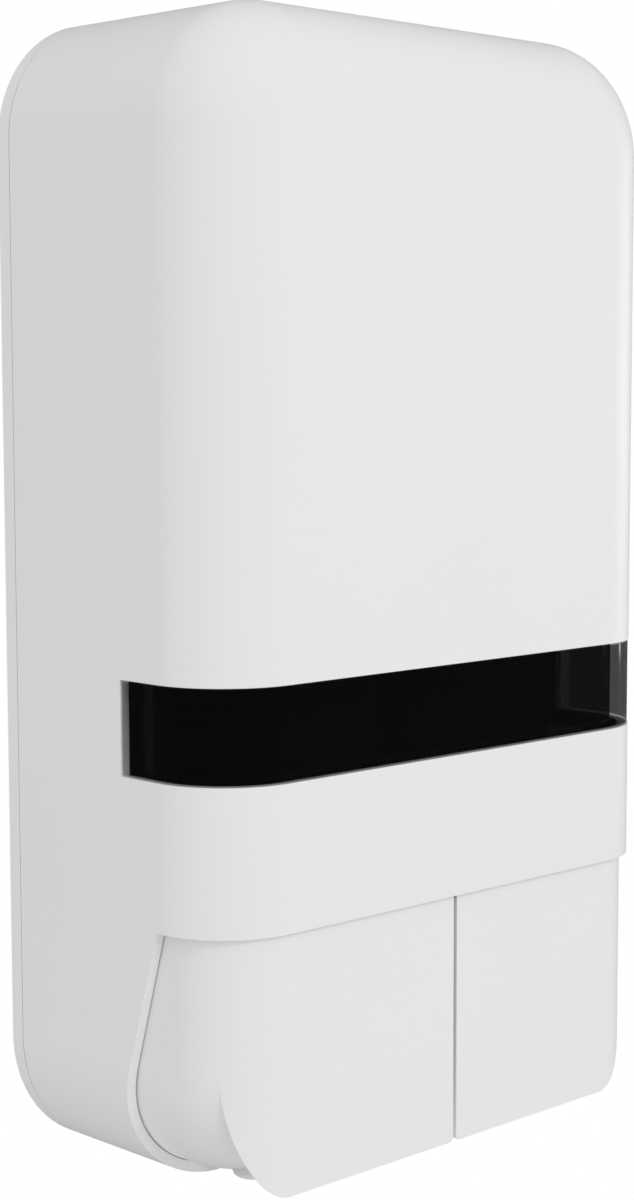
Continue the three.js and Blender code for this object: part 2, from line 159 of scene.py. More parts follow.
def join(piece, *tools):
    return combine(piece, "UNION", *tools)


def keepInside(piece, *tools):
    return combine(piece, "INTERSECT", *tools)


# Rounds every edge sharper than the angle a little, and shades the rest smooth.
def soften(piece, radius, steps=2, angle=38):
    if radius:
        applyModifier(piece, "BEVEL", width=radius * mm, segments=steps, limit_method="ANGLE",
                      angle_limit=math.radians(angle), use_clamp_overlap=True, miter_outer="MITER_ARC")
    focus(piece)
    bpy.ops.object.shade_smooth_by_angle(angle=math.radians(angle))
    applyModifier(piece, "WEIGHTED_NORMAL", mode="FACE_AREA", weight=100, keep_sharp=True)
    return piece


def block(name, x0, x1, y0, y1, z0, z1):
    low, high = spot(x0, y0, z0), spot(x1, y1, z1)
    focus(None)
    bpy.ops.mesh.primitive_cube_add(size=1, location=(low + high) / 2, scale=high - low)
    piece = settle(bpy.context.object)
    piece.name = name
    return piece


# A body of revolution. The profile is [radius, distance along the axis]; it starts and ends on the
# axis, or closes on itself.
def turned(name, axis, centre, profile, steps=48):
    solid = profile[0][0] == 0
    rings = [point for point in profile if point[0] > 0]
    fill = "NGON" if solid else "NOTHING"
    radius, along = rings[0]
    focus(None)
    bpy.ops.mesh.primitive_circle_add(vertices=steps, radius=radius * mm, fill_type=fill,
                                      location=(0, 0, along * mm))
    piece = settle(bpy.context.object)
    piece.name = name
    openEdit(piece)
    following = rings[1:] if solid else rings[1:] + rings[:1]
    for radius2, along2 in following:
        bpy.ops.mesh.extrude_region_move(TRANSFORM_OT_translate={"value": (0, 0, (along2 - along) * mm)})
        scale = radius2 / radius
        bpy.ops.transform.resize(value=(scale, scale, 1), center_override=(0, 0, 0))
        radius, along = radius2, along2
    closeSeams()
    closeEdit()
    piece.rotation_euler = {"x": (0, math.pi / 2, 0), "y": (-math.pi / 2, 0, 0), "z": (0, 0, 0)}[axis]
    piece.location = spot(*centre)
    return settle(piece)


def rod(name, axis, centre, radius, low, high, steps=48):
    return turned(name, axis, centre, [[0, low], [radius, low], [radius, high], [0, high]], steps)


# A flat outline, filled and drawn out. Side outlines are [y, z] points, front outlines [x, z].
def prism(name, facing, outline, low, high):
    focus(None)
    bpy.ops.mesh.primitive_circle_add(vertices=len(outline), radius=1, fill_type="NGON")
    piece = bpy.context.object
    piece.name = name
    openEdit(piece)
    mesh = bmesh.from_edit_mesh(piece.data)
    mesh.verts.ensure_lookup_table()
    for vertex, (u, v) in zip(mesh.verts, outline):
        vertex.co = spot(low, u, v) if facing == "side" else spot(u, low, v)
    bmesh.update_edit_mesh(piece.data)
    reach = (high - low) * mm
    way = (reach, 0, 0) if facing == "side" else (0, reach, 0)
    bpy.ops.mesh.extrude_region_move(TRANSFORM_OT_translate={"value": way})
    closeSeams()
    closeEdit()
    return piece


def arc(u, v, radiusU, radiusV, start, end, steps=16):
    turn = [math.radians(start + (end - start) * i / steps) for i in range(steps + 1)]
    return [[u + radiusU * math.cos(a), v + radiusV * math.sin(a)] for a in turn]


def curve(start, control, end, steps=12):
    share = [i / steps for i in range(steps + 1)]
    return [[(1 - t) ** 2 * a + 2 * t * (1 - t) * b + t ** 2 * c for a, b, c in zip(start, control, end)]
            for t in share]


# A copy of a piece with a mesh of its own, moved by some millimetres and mirrored across X.
def copied(piece, name, move=(0, 0, 0), mirrored=False):
    twin = bpy.data.objects.new(name, piece.data.copy())
    bpy.context.scene.collection.objects.link(twin)
    twin.data.transform(Matrix.Translation(Vector(move) * mm))
    if mirrored:
        twin.data.transform(Matrix.Scale(-1, 4, (1, 0, 0)))
        focus(twin)
        bpy.ops.mesh.customdata_custom_splitnormals_clear()
        openEdit(twin)
        closeSeams()
        closeEdit()
        soften(twin, 0)
    return twin


def handOver(piece, material, slotName, body, *nodes):
    piece.data.materials.clear()
    piece.data.materials.append(material)
    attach(piece, body)
    if nodes:
        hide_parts(*nodes)
    print("made", piece.name, len(piece.data.polygons), "faces")


# Camera, light and floor

cameraSetting = {
    "place": (-0.4352, -0.4845, 0.0582),
    "tilt": 84.01,
    "heading": -45.02,
    "lens": 69.86,
    "shift": (-0.0455, 0.0140),
}


def setCamera():
    data = bpy.data.cameras.new("camera")
    data.lens = cameraSetting["lens"]
    data.shift_x, data.shift_y = cameraSetting["shift"]
    data.clip_start = 0.01
    camera = bpy.data.objects.new("camera", data)
    bpy.context.scene.collection.objects.link(camera)
    camera.location = cameraSetting["place"]
    camera.rotation_euler = (math.radians(cameraSetting["tilt"]), 0, math.radians(cameraSetting["heading"]))
    bpy.context.scene.camera = camera


studio = {
    "backdrop": 1.0,        # seen directly
    "fill": 0.81,           # soft light from all round
    "mirrored": 0.035,       # what glossy surfaces see of the room
    "warmth": (1, 0.999, 0.987, 1),
    "floorZ": -0.55,
    "softboxes": [
        # name, place, aimed at, size, power, shows in glossy surfaces
        ("key", (-0.25, -1.9, 1.1), (0, -0.05, 0), 0.9, 8.4, False),
        ("rightStrip", (1.5, -0.4, 0.05), (0, -0.05, 0), 0.5, 2.5, True),
    ],
}


def setStudio():
    scene = bpy.context.scene
    scene.view_settings.view_transform = "Standard"
    world = bpy.data.worlds.new("studio")
    world.use_nodes = True
    nodes, links = world.node_tree.nodes, world.node_tree.links
    background = nodes["Background"]
    path = nodes.new("ShaderNodeLightPath")
    glossy = nodes.new("ShaderNodeMix")
    glossy.inputs["A"].default_value = studio["fill"]
    glossy.inputs["B"].default_value = studio["mirrored"]
    seen = nodes.new("ShaderNodeMix")
    seen.inputs["B"].default_value = studio["backdrop"]
    links.new(path.outputs["Is Glossy Ray"], glossy.inputs["Factor"])
    links.new(path.outputs["Is Camera Ray"], seen.inputs["Factor"])
    links.new(glossy.outputs["Result"], seen.inputs["A"])
    links.new(seen.outputs["Result"], background.inputs["Strength"])
    tone = nodes.new("ShaderNodeMix")
    tone.data_type = "RGBA"
    tone.inputs["A"].default_value = studio["warmth"]
    tone.inputs["B"].default_value = (1, 1, 1, 1)
    links.new(path.outputs["Is Camera Ray"], tone.inputs[0])
    links.new(tone.outputs["Result"], background.inputs["Color"])
    scene.world = world
    for name, place, target, size, power, glossy in studio["softboxes"]:
        data = bpy.data.lights.new(name, "AREA")
        data.shape = "DISK"
        data.size = size
        data.energy = power
        lamp = bpy.data.objects.new(name, data)
        scene.collection.objects.link(lamp)
        lamp.visible_glossy = glossy
        lamp.location = place
        lamp.rotation_euler = (Vector(target) - Vector(place)).to_track_quat("-Z", "Y").to_euler()
    focus(None)
    bpy.ops.mesh.primitive_plane_add(size=6, location=(0, 0, studio["floorZ"]))
    floor = bpy.context.object
    floor.name = "floor"
    pale = bpy.data.materials.new("paleFloor")
    pale.use_nodes = True
    nodes, links = pale.node_tree.nodes, pale.node_tree.links
    shader = nodes["Principled BSDF"]
    shader.inputs["Base Color"].default_value = (0.85, 0.85, 0.85, 1)
    shader.inputs["Roughness"].default_value = 0.9
    path, glow, either = (nodes.new(kind) for kind in
                          ("ShaderNodeLightPath", "ShaderNodeEmission", "ShaderNodeMixShader"))
    links.new(path.outputs["Is Camera Ray"], either.inputs[0])
    links.new(shader.outputs[0], either.inputs[1])
    links.new(glow.outputs[0], either.inputs[2])
    links.new(either.outputs[0], nodes["Material Output"].inputs["Surface"])
    floor.data.materials.append(pale)
    floor.visible_glossy = False


setCamera()
setStudio()
print("camera, light and floor set")


# Surface effects shared by the materials

# Starts a node group with the given float inputs and outputs; returns the tree, its input and output nodes.
def newGroup(name, inputs, outputs):
    tree = bpy.data.node_groups.new(name, "ShaderNodeTree")
    for socket, default in inputs:
        entry = tree.interface.new_socket(socket, in_out="INPUT", socket_type="NodeSocketFloat")
        entry.default_value = default
    for socket in outputs:
        tree.interface.new_socket(socket, in_out="OUTPUT", socket_type="NodeSocketFloat")
    return tree, tree.nodes.new("NodeGroupInput"), tree.nodes.new("NodeGroupOutput")


def addNode(tree, kind, links=(), **values):
    node = tree.nodes.new(kind)
    for name, value in values.items():
        if name in node.inputs.keys():
            node.inputs[name].default_value = value
        else:
            setattr(node, name, value)
    for socket, source in links:
        tree.links.new(source, node.inputs[socket])
    return node


# Fine spark texture of a moulding tool, and the slow unevenness of a large moulded wall.
def mouldedGrain():
    sizes = [("Grain size", 0.35), ("Sink size", 40.0)]
    tree, given, put = newGroup("mouldedGrain", sizes, ["Grain", "Sink"])
    place = addNode(tree, "ShaderNodeTexCoord")
    perMm = addNode(tree, "ShaderNodeMath", [(1, given.outputs["Grain size"])], operation="DIVIDE")
    perMm.inputs[0].default_value = 1000
    perSink = addNode(tree, "ShaderNodeMath", [(1, given.outputs["Sink size"])], operation="DIVIDE")
    perSink.inputs[0].default_value = 1000
    fineLinks = [("Vector", place.outputs["Object"]), ("Scale", perMm.outputs[0])]
    fine = addNode(tree, "ShaderNodeTexNoise", fineLinks, Detail=3.0, Roughness=0.6)
    slowLinks = [("Vector", place.outputs["Object"]), ("Scale", perSink.outputs[0])]
    slow = addNode(tree, "ShaderNodeTexNoise", slowLinks, Detail=1.0)
    tree.links.new(fine.outputs[0], put.inputs["Grain"])
    tree.links.new(slow.outputs[0], put.inputs["Sink"])
    return tree


# Faint rub marks and settled dust: patchy, and thicker on faces that look up.
def handledDust():
    tree, given, put = newGroup("handledDust", [("Patch size", 25.0)], ["Rub", "Dust"])
    place = addNode(tree, "ShaderNodeTexCoord")
    per = addNode(tree, "ShaderNodeMath", [(1, given.outputs["Patch size"])], operation="DIVIDE")
    per.inputs[0].default_value = 1000
    patchLinks = [("Vector", place.outputs["Object"]), ("Scale", per.outputs[0])]
    patch = addNode(tree, "ShaderNodeTexNoise", patchLinks, Detail=6.0, Roughness=0.7)
    rub = addNode(tree, "ShaderNodeMapRange", [("Value", patch.outputs[0])])
    rub.inputs["From Min"].default_value = 0.45
    rub.inputs["From Max"].default_value = 0.75
    facing = addNode(tree, "ShaderNodeNewGeometry")
    parts = addNode(tree, "ShaderNodeSeparateXYZ", [("Vector", facing.outputs["Normal"])])
    up = addNode(tree, "ShaderNodeMapRange", [("Value", parts.outputs["Z"])])
    up.inputs["From Min"].default_value = 0.35
    both = addNode(tree, "ShaderNodeMath", [(0, up.outputs[0]), (1, patch.outputs[0])],
                   operation="MULTIPLY")
    tree.links.new(rub.outputs[0], put.inputs["Rub"])
    tree.links.new(both.outputs[0], put.inputs["Dust"])
    return tree


grainGroup = mouldedGrain()
dustGroup = handledDust()


def newMaterial(name):
    material = bpy.data.materials.new(name)
    material.use_nodes = True
    tree = material.node_tree
    return material, tree, tree.nodes["Principled BSDF"]


def groupNode(tree, group, **values):
    node = tree.nodes.new("ShaderNodeGroup")
    node.node_tree = group
    for name, value in values.items():
        node.inputs[name.replace("_", " ")].default_value = value
    return node


# A moulded plastic or rubber: colour that varies a little, satin grain, rub marks and dust.
def moulded(name, colour, shade, roughness, grainSize=0.35, grainDepth=0.02, sinkDepth=0.0, dust=0.15,
            specular=0.5, rub=0.06):
    material, tree, shader = newMaterial(name)
    grain = groupNode(tree, grainGroup, Grain_size=grainSize, Sink_size=45.0)
    dusty = groupNode(tree, dustGroup, Patch_size=30.0)
    tint = addNode(tree, "ShaderNodeMix", data_type="RGBA")
    tint.inputs["A"].default_value = (*colour, 1)
    tint.inputs["B"].default_value = (*shade, 1)
    tree.links.new(grain.outputs["Sink"], tint.inputs[0])
    amount = addNode(tree, "ShaderNodeMath", [(0, dusty.outputs["Dust"])], operation="MULTIPLY")
    amount.inputs[1].default_value = dust
    settled = addNode(tree, "ShaderNodeMix", data_type="RGBA")
    tree.links.new(amount.outputs[0], settled.inputs[0])
    tree.links.new(tint.outputs["Result"], settled.inputs["A"])
    settled.inputs["B"].default_value = (0.55, 0.53, 0.50, 1)
    tree.links.new(settled.outputs["Result"], shader.inputs["Base Color"])
    gloss = addNode(tree, "ShaderNodeMapRange", [("Value", dusty.outputs["Rub"])])
    gloss.inputs["To Min"].default_value = roughness
    gloss.inputs["To Max"].default_value = roughness + rub
    tree.links.new(gloss.outputs[0], shader.inputs["Roughness"])
    relief = addNode(tree, "ShaderNodeBump", [("Height", grain.outputs["Grain"])], Strength=0.35,
                     Distance=grainDepth * mm)
    if sinkDepth:
        wave = addNode(tree, "ShaderNodeBump", [("Height", grain.outputs["Sink"])], Strength=0.5,
                       Distance=sinkDepth * mm)
        tree.links.new(wave.outputs[0], relief.inputs["Normal"])
    tree.links.new(relief.outputs[0], shader.inputs["Normal"])
    shader.inputs["Specular IOR Level"].default_value = specular
    return material


# Smoked clear plastic, seen straight through: dark on its faces, nearly clear at its cut edges.
def smoked(name, colour, tintAlpha, lightAlpha):
    material, tree, shader = newMaterial(name)
    grain = groupNode(tree, grainGroup, Grain_size=1.5, Sink_size=60.0)
    dusty = groupNode(tree, dustGroup, Patch_size=20.0)
    tint = addNode(tree, "ShaderNodeMix", data_type="RGBA")
    tree.links.new(grain.outputs["Sink"], tint.inputs[0])
    tint.inputs["A"].default_value = (*[colour * 0.9] * 3, 1)
    tint.inputs["B"].default_value = (*[colour * 1.2] * 3, 1)
    tree.links.new(tint.outputs["Result"], shader.inputs["Base Color"])
    gloss = addNode(tree, "ShaderNodeMapRange", [("Value", dusty.outputs["Rub"])])
    gloss.inputs["To Min"].default_value = 0.05
    gloss.inputs["To Max"].default_value = 0.12
    tree.links.new(gloss.outputs[0], shader.inputs["Roughness"])
    path = addNode(tree, "ShaderNodeLightPath")
    alpha = addNode(tree, "ShaderNodeMix")
    tree.links.new(path.outputs["Is Shadow Ray"], alpha.inputs[0])
    alpha.inputs["A"].default_value = tintAlpha
    alpha.inputs["B"].default_value = lightAlpha
    tree.links.new(alpha.outputs["Result"], shader.inputs["Alpha"])
    return material


# Zinc plated steel: bright, with fine drawn lines and duller spots.
def plated(name, colour, roughness):
    material, tree, shader = newMaterial(name)
    place = addNode(tree, "ShaderNodeTexCoord")
    stretch = addNode(tree, "ShaderNodeMapping", [("Vector", place.outputs["Object"])])
    stretch.inputs["Scale"].default_value = (300, 2500, 2500)
    lines = addNode(tree, "ShaderNodeTexNoise", [("Vector", stretch.outputs[0])], Scale=1.0, Detail=4.0)
    dusty = groupNode(tree, dustGroup, Patch_size=3.0)
    tint = addNode(tree, "ShaderNodeMix", data_type="RGBA")
    tree.links.new(dusty.outputs["Rub"], tint.inputs[0])
    tint.inputs["A"].default_value = (*colour, 1)
    tint.inputs["B"].default_value = (*[c * 0.8 for c in colour], 1)
    tree.links.new(tint.outputs["Result"], shader.inputs["Base Color"])
    gloss = addNode(tree, "ShaderNodeMapRange", [("Value", lines.outputs[0])])
    gloss.inputs["To Min"].default_value = roughness
    gloss.inputs["To Max"].default_value = roughness + 0.18
    tree.links.new(gloss.outputs[0], shader.inputs["Roughness"])
    relief = addNode(tree, "ShaderNodeBump", [("Height", lines.outputs[0])], Strength=0.2,
                     Distance=0.01 * mm)
    tree.links.new(relief.outputs[0], shader.inputs["Normal"])
    shader.inputs["Metallic"].default_value = 1
    return material


whiteCase = moulded("whiteCase", (0.86, 0.86, 0.86), (0.848, 0.848, 0.848), 0.42, sinkDepth=0.0, dust=0.03)
blackChassis = moulded("blackChassis", (0.022, 0.022, 0.024), (0.03, 0.03, 0.032), 0.42, grainDepth=0.04)
blackBottle = moulded("blackBottle", (0.02, 0.02, 0.021), (0.026, 0.026, 0.028), 0.22, grainSize=0.8)
greyNozzle = moulded("greyNozzle", (0.8, 0.8, 0.8), (0.77, 0.77, 0.77), 0.38)
naturalAcetal = moulded("naturalAcetal", (0.72, 0.71, 0.66), (0.66, 0.65, 0.6), 0.33)
blackRubber = moulded("blackRubber", (0.018, 0.018, 0.018), (0.026, 0.026, 0.026), 0.75, dust=0.3)
clearRubber = moulded("clearRubber", (0.62, 0.6, 0.55), (0.55, 0.53, 0.48), 0.5)
zincSteel = plated("zincSteel", (0.62, 0.63, 0.64), 0.22)
smokedPane = smoked("smokedPane", 0.002, 0.77, 0.1)
smokedEdge = smoked("smokedEdge", 0.2, 0.04, 0.0)
smokedBorder = smoked("smokedBorder", 0.002, 0.42, 0.05)
print("materials built")


# The cover shell

# The housing's outer form at an inset: a box with round corners and a rounded front.
def housingForm(name, inset, rearY, frontY, fillet):
    half = width / 2 - inset
    piece = block(name, -half, half, frontY, rearY, inset, height - inset)
    middleZ = spot(0, 0, height / 2).z
    frontEdge = frontY * mm + 1e-6
    openEdit(piece)
    pick(piece, "EDGE", lambda edge: runsAlong(edge, 1) and middle(edge).z > middleZ)
    bevelPicked(housing["topRadius"] - inset, housing["cornerSteps"])
    pick(piece, "EDGE", lambda edge: runsAlong(edge, 1) and middle(edge).z < middleZ
         and abs(middle(edge).x) > (half - 1) * mm and middle(edge).z < spot(0, 0, inset + 1).z)
    bevelPicked(housing["bottomRadius"] - inset, housing["cornerSteps"])
    pick(piece, "EDGE", lambda edge: max(vertex.co.y for vertex in edge.verts) < frontEdge)
    bevelPicked(fillet, housing["filletSteps"])
    closeEdit()
    return piece


coverPlan = {
    "edgeZ": 70.6,              # lower edge of the front
    "windowZ": (107.4, 131.1),
    "windowRearY": -45.8,
    "floorY": -43,
    "hingeY": -20,
    "hingeZ": 3.5,
    "hingeX": 23,
    "latchY": -30,
    "nozzleX": 42,
    "nozzleY": -49,
    "edgeRound": 0.3,
}


def coverForm(name, inset, rearY):
    return housingForm(name, inset, rearY, inset - depth, housing["fillet"] - inset)


# Rear edge of the lever recess seen from the side, from its top to the floor.
def recessEdge(shiftY=0, shiftZ=0):
    slope = [[-58.6 + shiftY, coverPlan["edgeZ"] + shiftZ]]
    bend = curve((-48.2 + shiftY, 36 + shiftZ), (-43.6 + shiftY, 20.5 + shiftZ),
                 (coverPlan["floorY"] + shiftY, 2 + shiftZ))
    return slope + bend


def coverShell():
    plan = coverPlan
    piece = coverForm("coverShell", 0, housing["rearY"])
    cut(piece, coverForm("hollow", housing["wall"], housing["rearY"] + 1))
    outline = [[plan["floorY"], -5], [-hidden, -5], [-hidden, plan["edgeZ"]], *recessEdge()]
    recess = prism("recess", "side", outline, -hidden, hidden)
    lowZ, highZ = plan["windowZ"]
    slot = block("slot", -hidden, hidden, -hidden, plan["windowRearY"], lowZ, highZ)
    cut(piece, recess, slot)
    for side in (-1, 1):
        x = side * plan["hingeX"]
        cut(piece, block("notch", x - 4.5, x + 4.5, plan["hingeY"] - 4, 0, -1, 9))
        cut(piece, rod("notch", "z", (side * plan["nozzleX"], plan["nozzleY"], 0), 9.5, -1, 4))
        for offset in (-7.5, 7.5):
            join(piece, rod("lug", "x", (x + offset, plan["hingeY"], plan["hingeZ"]), 3.2, -2.8, 2.8, 32))
        cut(piece, rod("pinHole", "x", (x, plan["hingeY"], plan["hingeZ"]), 1.85, -12, 12, 24))
    y = plan["latchY"]
    join(piece, block("guide", -11, 11, y - 8, y + 8, 281, height - 1))
    cut(piece,
        block("bore", -8.3, 8.3, y - 5.2, y + 5.2, 283, 289.5),
        block("buttonHole", -6.9, 6.9, y - 4.9, y + 4.9, 289, height + 1),
        rod("stemHole", "z", (0, y, 0), 2.5, 280, 284, 24))
    soften(piece, plan["edgeRound"])
    handOver(piece, whiteCase, "white_abs", "cover", "cover")
    return piece


coverShell()


# The window band

windowPlan = {
    "inset": 0.25,
    "gap": 0.3,
    "flangeOverlap": 4,
    "thickness": 2,
    "borderDepth": 2.9,     # the tint looks thinner where the rim of the opening shows through
    "borderHeight": 0.4,
}


def windowBand():
    plan = windowPlan
    lowZ, highZ = coverPlan["windowZ"]
    rearY = coverPlan["windowRearY"] - plan["gap"]
    flangeInset = housing["wall"] + plan["gap"]
    reach = plan["flangeOverlap"]
    piece = coverForm("windowBand", plan["inset"], -30)
    keepInside(piece, block("band", -hidden, hidden, -hidden, rearY,
                            lowZ + plan["gap"], highZ - plan["gap"]))
    flange = coverForm("flange", flangeInset, -30)
    keepInside(flange, block("band", -hidden, hidden, -hidden, rearY + reach, lowZ - reach, highZ + reach))
    join(piece, flange)
    cut(piece, coverForm("hollow", flangeInset + plan["thickness"], -20))
    borderY, borderZ = rearY - plan["borderDepth"], lowZ + plan["gap"] + plan["borderHeight"]
    openEdit(piece)
    bpy.ops.mesh.bisect(plane_co=spot(0, borderY, 0), plane_no=(0, 1, 0))
    bpy.ops.mesh.select_all(action="SELECT")
    bpy.ops.mesh.bisect(plane_co=spot(0, 0, borderZ), plane_no=(0, 0, 1))
    closeEdit()
    soften(piece, 0.12, 1)
    handOver(piece, smokedPane, "smoked_window", "cover", "window")
    piece.data.materials.append(smokedEdge)
    piece.data.materials.append(smokedBorder)
    endY, rear, low = (rearY - 1) * mm, rearY * mm, spot(0, 0, lowZ).z
    for face in piece.data.polygons:
        at, normal = face.center, face.normal
        outward = normal.x * at.x + normal.y * (at.y + 0.03) > 0
        nearRim = at.y > borderY * mm or at.z < spot(0, 0, borderZ).z
        if abs(normal.z) > 0.7 or (normal.y > 0.7 and at.y > endY):
            face.material_index = 1
        elif outward and nearRim and at.y < rear and at.z > low:
            face.material_index = 2
    return piece


windowBand()


# The back plate

platePlan = {
    "depth": 4.2,
    "rimInset": 3.2,
    "rimWall": 2.2,
    "rimFrontY": -9,
    "rimLowZ": 40,
    "keyholes": [(-50, 150), (50, 150), (-50, 262), (50, 262)],
    "screws": [(-58, 32), (58, 32), (-58, 76), (58, 76)],
    "edgeRound": 0.45,
}


# A flat slab with the housing's round corners.
def slab(name, inset, y0, y1):
    half = width / 2 - inset
    piece = block(name, -half, half, y0, y1, inset, height - inset)
    middleZ = spot(0, 0, height / 2).z
    openEdit(piece)
    pick(piece, "EDGE", lambda edge: runsAlong(edge, 1) and middle(edge).z > middleZ)
    bevelPicked(housing["topRadius"] - inset, housing["cornerSteps"])
    pick(piece, "EDGE", lambda edge: runsAlong(edge, 1) and middle(edge).z < spot(0, 0, inset + 1).z)
    bevelPicked(housing["bottomRadius"] - inset, housing["cornerSteps"])
    closeEdit()
    return piece


def backPlate():
    plan = platePlan
    piece = slab("backPlate", 0, -plan["depth"], 0)
    rim = slab("rim", plan["rimInset"], plan["rimFrontY"], -2)
    cut(rim, slab("inside", plan["rimInset"] + plan["rimWall"], plan["rimFrontY"] - 1, 0),
        block("below", -hidden, hidden, -20, 20, -5, plan["rimLowZ"]))
    join(piece, rim)
    for side in (-1, 1):
        x = side * coverPlan["hingeX"]
        eye = arc(coverPlan["hingeY"], coverPlan["hingeZ"], 3, 3, 90, 270)
        join(piece, prism("arm", "side", [[-2, 0.5], [-2, 12], [-8, 6.5], *eye], x - 4, x + 4))
        cut(piece, rod("pinHole", "x", (x, coverPlan["hingeY"], coverPlan["hingeZ"]), 1.8, -6, 6, 24))
    for x, z in plan["keyholes"]:
        slotTop = arc(x, z + 12, 2.6, 2.6, 0, 180, 12)
        cut(piece, prism("keyhole", "front", [*arc(x, z, 4.5, 4.5, 125, 415, 28), *slotTop], -10, 5))
    for x, z in plan["screws"]:
        cut(piece, rod("hole", "y", (x, 0, z), 1.7, -6, 1, 24))
    soften(piece, plan["edgeRound"])
    handOver(piece, whiteCase, "white_abs", "housing", "back_plate")


backPlate()


# The levers

leverPlan = {
    "cheekX": 78.7,
    "frontY": -80.4,
    "fillet": 18,
    "wall": 2.2,
    "topZ": 70.3,
    "rollRadius": 33,
    "rollZ": 35.9,
    "halfGap": 0.6,
    "cornerX": 48.5,            # centre of the housing's lower corner
    "cornerZ": 34,
    "tuckDepth": 8.4,           # how far the cheek reaches behind the cover's rim
    "coveWidth": 5,             # the cheek sweeps out towards the rim
    "coveHeight": 0.65,
    "lipInset": 1.7,
    "lipHeight": 4,
    "flapLowZ": 4.6,
    "flapOuterX": 75.2,
    "flapCornerWidth": 16.5,
    "pivot": (-60, 80),
    "padX": 42,
    "padZ": 46,
    "edgeRound": 0.4,
}
flatSteps, filletSteps, cheekSteps, tuckSteps, rollSteps, wallSteps = 10, 18, 28, 8, 26, 24


# A sheet whose rows are lists of points, as a grid primitive pulled into shape.
def sheetOf(name, rows):
    focus(None)
    bpy.ops.mesh.primitive_grid_add(x_subdivisions=len(rows[0]) - 1, y_subdivisions=len(rows) - 1, size=1)
    piece = bpy.context.object
    piece.name = name
    for vertex, point in zip(piece.data.vertices, [point for row in rows for point in row]):
        vertex.co = spot(*point)
    return piece


# Merges sheets, turns their normals outwards and gives them a wall.
def thicken(piece, wall, *others):
    focus(piece)
    for other in others:
        other.select_set(True)
    if others:
        bpy.ops.object.join()
    openEdit(piece)
    closeSeams()
    mesh = bmesh.from_edit_mesh(piece.data)
    foremost = min(mesh.faces, key=lambda face: face.calc_center_median().y)
    if foremost.normal.y > 0:
        bpy.ops.mesh.flip_normals()
    closeEdit()
    applyModifier(piece, "SOLIDIFY", thickness=wall * mm, offset=-1, use_even_offset=True)
    return piece


# Depth of the recess's rear edge at a height.
def rimY(z):
    points = recessEdge()
    for (y0, z0), (y1, z1) in zip(points, points[1:]):
        if z >= z1:
            return y0 + (y1 - y0) * (z - z0) / (z1 - z0)
    return points[-1][0]


# Pushes a cheek point out towards the rim, less so along the floor.
def coved(x, y, z, outX, outZ):
    plan = leverPlan
    ahead = max(0, rimY(z) - y)
    rise = plan["coveHeight"] * max(0, 1 - ahead / plan["coveWidth"]) ** 2
    rise *= 1.3 * abs(outX) - 0.3
    return [x + rise * outX, y, z + rise * outZ]


def spread(low, high, steps):
    return [low + (high - low) * i / steps for i in range(steps + 1)]


# One row round the lever at a height: front, fillet, cheek and the part tucked behind the rim.
def wallRow(z, inset=0):
    plan = leverPlan
    centreX = plan["cheekX"] - plan["fillet"]
    filletY = plan["frontY"] + plan["fillet"]
    tuckY = plan["frontY"] + plan["rollRadius"] - (z - plan["rollZ"]) * 0.3006
    row = [[x, plan["frontY"] + inset, z] for x in spread(plan["halfGap"], centreX, flatSteps)]
    for turn in spread(0, math.pi / 2, filletSteps)[1:]:
        radius = plan["fillet"] - inset
        row.append([centreX + radius * math.sin(turn), filletY - radius * math.cos(turn), z])
    for y in spread(filletY, tuckY, cheekSteps)[1:]:
        row.append(coved(plan["cheekX"] - inset, y, z, 1, 0))
    for y in spread(tuckY, tuckY + plan["tuckDepth"], tuckSteps)[1:]:
        row.append(coved(plan["cheekX"] - inset, y, z, 1, 0))
    return row


# One row of the roll that turns under, at an angle from the front; it ends on the roll's axis.
def rollRow(turn, shiftY=0):
    plan = leverPlan
    share = (1 - math.cos(turn * 2)) / 2
    cornerX = plan["fillet"] + share * (plan["cheekX"] - plan["cornerX"] - plan["fillet"])
    fullR = plan["cornerZ"] - (plan["rollZ"] - plan["rollRadius"])
    cornerR = plan["fillet"] + share * (fullR - plan["fillet"])
    centreX = plan["cheekX"] - cornerX
    rollY = plan["frontY"] + plan["rollRadius"]
    profile = [[x, plan["rollRadius"], 0] for x in spread(plan["halfGap"], centreX, flatSteps)]
    for angle in spread(0, math.pi / 2, filletSteps)[1:]:
        radius = plan["rollRadius"] - cornerR * (1 - math.cos(angle))
        profile.append([centreX + cornerX * math.sin(angle), radius, math.sin(angle)])
    for radius in spread(plan["rollRadius"] - cornerR, 0, cheekSteps)[1:]:
        profile.append([plan["cheekX"], radius, 1])
    row = []
    for x, radius, outX in profile:
        y = rollY - radius * math.cos(turn) + shiftY
        z = plan["rollZ"] - radius * math.sin(turn)
        row.append(coved(x, y, z, outX, -math.sqrt(1 - outX ** 2)))
    return row


def leverBody(name):
    plan = leverPlan
    lip = plan["lipInset"]
    upper = [wallRow(plan["topZ"] + plan["lipHeight"], lip), wallRow(plan["topZ"], lip)]
    upper += [wallRow(z) for z in spread(plan["topZ"], plan["rollZ"], wallSteps)]
    roll = [rollRow(turn) for turn in spread(0, math.pi / 2, rollSteps)]
    under = [rollRow(math.pi / 2, shift) for shift in spread(0, plan["tuckDepth"], tuckSteps)]
    return thicken(sheetOf(name, upper), plan["wall"], sheetOf("roll", roll), sheetOf("under", under))


